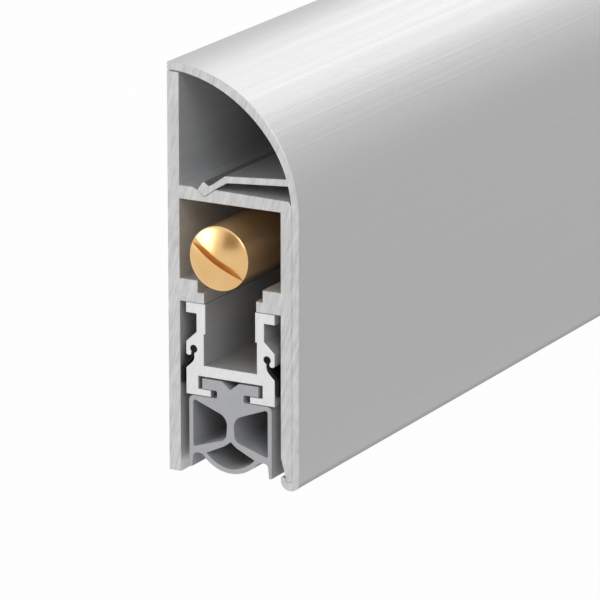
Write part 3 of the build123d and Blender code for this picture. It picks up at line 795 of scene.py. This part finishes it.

# %% [markdown]
# ## Aluminium
#
# Three faces of aluminium show in the object. The cover is brushed along its length. Inside, the metal is as
# it left the die, with faint lines along the bar. The ends are sawn, and the saw's teeth leave fine lines
# that slope a little from upright. The pattern and the roughness differ most, and the shade a little. The
# cover's colour is painted darker towards its rounded foot, by height above the foot: a painted shade.

# %% Brushed cover
brushed, tree, shader = new_finish("brushed_cover", Metallic=1.0)
streaks = object_noise(tree, (14, 4200, 4200), detail=4.0, roughness=0.6)
wide_streaks = object_noise(tree, (6, 2300, 2300), detail=2.0)
mixed = streaks * 0.6 + wide_streaks * 0.4
# Painted shade: the cover's colour darkens towards its rounded foot, by height above the foot, for the dim light
# under it.
cover_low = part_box("cover_profile")[0].z
painted_shade_start, painted_shade_end, painted_shade_level = 0.2 * MM, 1.1 * MM, 0.45
object_place = add_node(tree, "ShaderNodeTexCoord", output="Object")
object_height = add_node(tree, "ShaderNodeSeparateXYZ", {}, {0: object_place}, output="Z")
painted_foot_shade = add_node(
    tree, "ShaderNodeMapRange", {"clamp": True},
    {
        "Value": object_height, "From Min": cover_low + painted_shade_start, "From Max": cover_low + painted_shade_end,
        "To Min": painted_shade_level,
    },
)
dress(
    tree, shader,
    color=add_node(
        tree, "ShaderNodeVectorMath", {"operation": "SCALE"},
        {0: shades(tree, mixed, grey(0.44), grey(0.47)), "Scale": painted_foot_shade},
    ),
    roughness=mixed * 0.10 + wide_streaks * 0.11 + 0.355,
    height=mixed, bump=1.0, distance=3.5e-5,
)
print("brushed cover is ready")

# %% Mill and sawn faces


def mill_finish(name, dark, light, rough, metal=0.35, cool=1.0):
    """Extruded aluminium as it leaves the die, with faint lines along it. A cool over 1 makes it bluer."""
    material, tree, shader = new_finish(name, Metallic=metal)
    lines = object_noise(tree, (6, 1500, 1500), detail=3.0)
    cloud = object_noise(tree, (60, 60, 60), detail=2.0)
    dress(
        tree, shader,
        color=shades(
            tree, lines * 0.4 + cloud * 0.6,
            (dark / cool, dark, dark * cool), (light / cool, light, light * cool),
        ),
        roughness=lines * 0.10 + (rough - 0.05),
        height=lines, bump=0.25, distance=3e-6,
    )
    return material


def sawn_finish(name, dark, light, rough, lean):
    """A sawn end: fine lines that lean from upright, over a soft mottle."""
    material, tree, shader = new_finish(name, Metallic=1.0)
    lines = object_noise(tree, (100, 3400, 300), detail=4.0, turn=(math.radians(lean), 0, 0), roughness=0.7)
    mottle = object_noise(tree, (900, 900, 900), detail=3.0)
    mixed = lines * 0.8 + mottle * 0.2
    dress(
        tree, shader,
        color=shades(tree, mixed, grey(dark), grey(light)),
        roughness=mixed * 0.2 + (rough - 0.1),
        height=lines, bump=0.8, distance=1.2e-5,
    )
    return material


mill = mill_finish("mill_aluminium", 0.66, 0.76, 0.40, cool=1.015)
cover_mill = mill_finish("cover_inside", 0.55, 0.65, 0.40, metal=0.75)
bar_mill = mill_finish("bar_aluminium", 0.40, 0.50, 0.40, metal=0.0, cool=1.025)
sawn = sawn_finish("sawn_aluminium", 0.44, 0.67, 0.42, -16)
sawn_bar = sawn_finish("sawn_bar_aluminium", 0.66, 0.76, 0.46, -16)
print("mill and sawn faces are ready")

# %% [markdown]
# ## Silicone, rubber and plastic
#
# Soft seals scatter light instead of mirroring it, so they aren't metallic and are rough. The grey silicone
# is matte with the faintest grain, and paler where it is cut than on its skin. The black strips are duller,
# and the moulded blocks inside are black nylon with a slight orange peel.

# %% Soft finishes


def soft_finish(name, dark, light, rough, grain=1400.0, bump=0.15, level=0.4):
    """A matte moulded or extruded finish with a fine grain."""
    material, tree, shader = new_finish(name, Metallic=0.0, Specular_IOR_Level=level)
    fine = object_noise(tree, (grain * 0.3, grain, grain), detail=3.0)
    cloud = object_noise(tree, (90, 90, 90), detail=2.0)
    dress(
        tree, shader,
        color=shades(tree, fine * 0.5 + cloud * 0.5, dark, light),
        roughness=fine * 0.16 + (rough - 0.08),
        height=fine, bump=bump, distance=1.5e-5,
    )
    return material


silicone = soft_finish("grey_silicone", (0.43, 0.436, 0.448), (0.48, 0.486, 0.498), 0.58)
cut_silicone = soft_finish("cut_silicone", (0.53, 0.536, 0.548), (0.59, 0.596, 0.608), 0.66)
rubber = soft_finish("black_rubber", grey(0.004), grey(0.010), 0.6, level=0.15)
nylon = soft_finish("nylon", (0.028, 0.028, 0.030), (0.045, 0.045, 0.048), 0.45, grain=800.0, bump=0.25)
print("soft finishes are ready")

# %% [markdown]
# ## Brass and steel
#
# Turning leaves rings around the axis. The distance from the plunger's axis, worked out from the Object
# coordinates, feeds the noise, so the pattern has the same centre as the lathe had. Steel parts inside are
# drawn or zinc plated, with a fine grain along their length.

# %% Turned brass
axis_y, axis_z = (to_frame @ plunger_axis).yz
ring_scale = 20000.0


def turned_noise(tree, scale):
    """Noise in rings about the plunger's axis, and along it."""
    place = add_node(tree, "ShaderNodeTexCoord", output="Object")
    centred = add_node(
        tree, "ShaderNodeVectorMath", {"operation": "SUBTRACT"}, {0: place, 1: (0, axis_y, axis_z)}
    )
    across = add_node(tree, "ShaderNodeVectorMath", {"operation": "MULTIPLY"}, {0: centred, 1: (0, 1, 1)})
    radius = add_node(tree, "ShaderNodeVectorMath", {"operation": "LENGTH"}, {0: across}, output="Value")
    along = add_node(tree, "ShaderNodeSeparateXYZ", {}, {0: centred}, output="X")
    joined = add_node(tree, "ShaderNodeCombineXYZ", {}, {0: along * scale, 1: radius * scale})
    return add_node(
        tree, "ShaderNodeTexNoise", {"noise_dimensions": "3D"},
        {"Vector": joined, "Scale": 1.0, "Detail": 3.0},
    )


def brass_finish(name, dark, light, rough, coat=0.6):
    """Turned brass with rings and a soft tarnish."""
    material, tree, shader = new_finish(name, Metallic=1.0, Coat_Weight=coat, Coat_Roughness=0.12)
    rings = turned_noise(tree, ring_scale)
    tarnish = object_noise(tree, (220, 220, 220), detail=3.0)
    dress(
        tree, shader,
        color=shades(tree, rings * 0.10 + tarnish * 0.90, dark, light),
        roughness=rings * 0.05 + (rough - 0.025),
        height=rings, bump=0.06, distance=6e-6,
    )
    return material


brass = brass_finish("brass", (0.73, 0.44, 0.17), (0.84, 0.55, 0.25), 0.26)
# Slot walls: the rougher sawn finish is real, and the darker, more orange colour is a painted shade for the dim
# light inside the slot.
slot_wall_brass_painted_shade = brass_finish("sawn_brass_painted_shade", (0.70, 0.39, 0.14), (0.83, 0.50, 0.21), 0.42)
drawn_brass = brass_finish("drawn_brass", (0.76, 0.50, 0.24), (0.86, 0.59, 0.32), 0.40, coat=1.0)
print("brass is ready")

# %% Steels


def steel_finish(name, dark, light, rough, along=30.0, fine=2200.0):
    """Drawn or plated steel with a fine grain along the seal."""
    material, tree, shader = new_finish(name, Metallic=1.0)
    grain = object_noise(tree, (along, fine, fine), detail=3.0)
    dress(
        tree, shader,
        color=shades(tree, grain, dark, light),
        roughness=grain * 0.16 + (rough - 0.08),
        height=grain, bump=0.3, distance=8e-6,
    )
    return material


steel = steel_finish("steel", grey(0.46), grey(0.58), 0.30)
zinc = steel_finish("zinc_steel", (0.52, 0.54, 0.57), (0.66, 0.68, 0.70), 0.34, along=900.0, fine=900.0)
wire_steel = steel_finish("spring_steel", grey(0.34), grey(0.46), 0.28, along=400.0)
print("steels are ready")

# %% [markdown]
# ## Giving out the finishes
#
# New pieces take their finish as material 0 and their sawn faces as material 1. Material 2 is the cover's
# inside, which isn't brushed, and the plunger's barrel. The mechanical nodes that stay keep their own
# shapes, so only the material in their slots changes.

# %% Giving out the finishes
slot_finishes = {
    "mill_aluminium": mill, "brushed_cover": brushed, "bar_aluminium": bar_mill, "grey_silicone": silicone,
    "black_rubber": rubber, "brass": brass, "steel": steel, "zinc_steel": zinc, "spring_steel": wire_steel,
    "nylon": nylon,
}
sawn_faces = {
    "cover_profile": sawn, "housing": sawn, "drop_bar": sawn_bar, "floor_seal": cut_silicone,
    "door_side_gasket": rubber, "room_side_gasket": rubber, "plunger": slot_wall_brass_painted_shade,
}
for node, piece in pieces.items():
    piece.data.materials.append(slot_finishes[node_slots[node]])
    if node in sawn_faces:
        piece.data.materials.append(sawn_faces[node])
cover.data.materials.append(cover_mill)
plunger.data.materials.append(drawn_brass)
for node, item in frame["nodes"].items():
    if node not in pieces:
        for place in item.material_slots:
            place.material = slot_finishes[node_slots[node]]
print("dressed", len(pieces), "new pieces and", len(frame["nodes"]) - len(pieces), "mechanical nodes")

# %% [markdown]
# ## The camera
#
# The photograph was taken with a long lens from the left of the sawn end and a little above. The numbers
# come from fitting the edges of the cut end, and they give the same view of the model.

# %% The camera
camera_data = bpy.data.cameras.new("camera")
camera_data.sensor_width = 36.0
camera_data.lens = 309.75
camera_data.clip_start, camera_data.clip_end = 0.05, 20.0
camera = add_object("camera", camera_data)
camera_place = to_frame @ Vector((-467.83, -271.23, 175.46))
camera_aim = Vector((0.8436, 0.4596, -0.2774))
camera.rotation_mode = "QUATERNION"
camera.location = camera_place
camera.rotation_quaternion = camera_aim.to_track_quat("-Z", "Y")
bpy.context.scene.camera = camera
print("the camera stands at", tuple(round(value, 3) for value in camera_place))

# %% [markdown]
# ## Floor and backdrop
#
# The floor and the world are white where the camera or a mirror-like metal looks at them, which is what
# the Light Path node tells, and dimmer than that for the light they throw on the object. The floor lies a
# few millimetres under the housing, as under a real door, where the seal comes down on it.

# %% Floor and world
floor_half, floor_gap = 6.0, 0.0001
white_share = 0.98  # the rest of the floor's look is lit, and keeps the shadow
world_light = 0.5  # the world's strength for the light that it throws


def stage_plane(name, half_size, place):
    """A square sheet of the stage, which isn't part of the object."""
    bm = bmesh.new()
    bmesh.ops.create_grid(bm, x_segments=1, y_segments=1, size=half_size)
    bmesh.ops.transform(bm, matrix=place, verts=bm.verts[:])
    mesh = bpy.data.meshes.new(name)
    bm.to_mesh(mesh)
    bm.free()
    plane = add_object(name, mesh)
    return plane


def seen_mask(tree):
    """One for rays of the camera, reflections and transmission, and zero for other light."""
    camera_rays, glossy_rays, through_rays = (
        add_node(tree, "ShaderNodeLightPath", output=f"Is {kind} Ray")
        for kind in ("Camera", "Glossy", "Transmission")
    )
    return camera_rays + glossy_rays + through_rays


floor_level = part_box("floor_seal")[0].z - joint_range("seal_drop") - floor_gap
floor = stage_plane("floor", floor_half, Matrix.Translation((0, 0, floor_level)))
floor_finish, tree, shader = new_finish("pale_floor", Roughness=0.9, Base_Color=(*grey(0.5), 1.0))
glow = add_node(tree, "ShaderNodeEmission", {}, {"Color": (1, 1, 1, 1), "Strength": 1.0})
blend = add_node(
    tree, "ShaderNodeMixShader", {},
    {0: seen_mask(tree) * white_share, 1: Wire(tree, shader.outputs[0]), 2: glow},
)
tree.links.new(blend.socket, tree.nodes["Material Output"].inputs["Surface"])
floor.data.materials.append(floor_finish)

world = bpy.data.worlds.new("world")
world.use_nodes = True
bpy.context.scene.world = world
tree = world.node_tree
background = tree.nodes["Background"]
background.inputs["Color"].default_value = (1, 1, 1, 1)
strength = seen_mask(tree) * (1 - world_light) + world_light
tree.links.new(strength.socket, background.inputs["Strength"])
print("the floor lies", round((housing_low.z - floor_level) / MM, 2), "mm under the housing")

# %% [markdown]
# ## The brown card
#
# A photographer holds a card near a shiny thing to give its shine an edge. This one stands in front of the
# sawn end. Only reflections see it, and it shows as a soft dim patch in the plunger's dome.

# %% The brown card
card_half = 0.18
card_aim = to_frame @ plunger_axis
card_place = card_aim + Vector((-0.76, 0.04, 0.224))
card_turn = (card_aim - card_place).to_track_quat("Z", "Y").to_matrix().to_4x4()
card = stage_plane("dark_card", card_half, Matrix.Translation(card_place) @ card_turn)
card_finish, _, _ = new_finish("dark_card", Roughness=0.9, Base_Color=(0.42, 0.31, 0.18, 1.0))
card.data.materials.append(card_finish)
card.visible_camera = card.visible_diffuse = card.visible_shadow = False
print("the card stands", round((card_aim - card_place).length, 2), "m from the plunger")

# %% [markdown]
# ## Soft light
#
# A large soft lamp overhead makes the crown bright and lets the upright face fall off to grey, as in a
# photographer's tent. Three weaker ones fill the sawn end, the front and the inside of the hollows. Their
# places are in metres, and the lamps themselves stay out of the camera's view.

# %% Lamps


def soft_lamp(name, place, aim, width, height, power):
    """A large area lamp that looks at a point."""
    data = bpy.data.lights.new(name, "AREA")
    data.shape, data.size, data.size_y, data.energy = "RECTANGLE", width, height, power
    lamp = add_object(name, data)
    lamp.rotation_mode = "QUATERNION"
    lamp.location = place
    lamp.rotation_quaternion = (Vector(aim) - Vector(place)).to_track_quat("-Z", "Y")
    lamp.visible_camera = False


soft_lamp("overhead", (1.31, -0.03, 0.83), (0, 0, 0), 1.2, 0.9, 6.0)
soft_lamp("far_front", (1.31, -0.75, 0.33), (0, 0, 0), 0.6, 0.5, 0.4)
soft_lamp("left_fill", (-1.0, -0.9, 0.8), (-0.16, 0, 0), 0.7, 0.7, 3.0)
soft_lamp("back_left", (-0.82, 0.84, 0.22), (-0.17, 0, 0), 0.65, 0.5, 3.4)
bpy.context.scene.view_settings.view_transform = "Standard"
print("four soft lamps are lit")
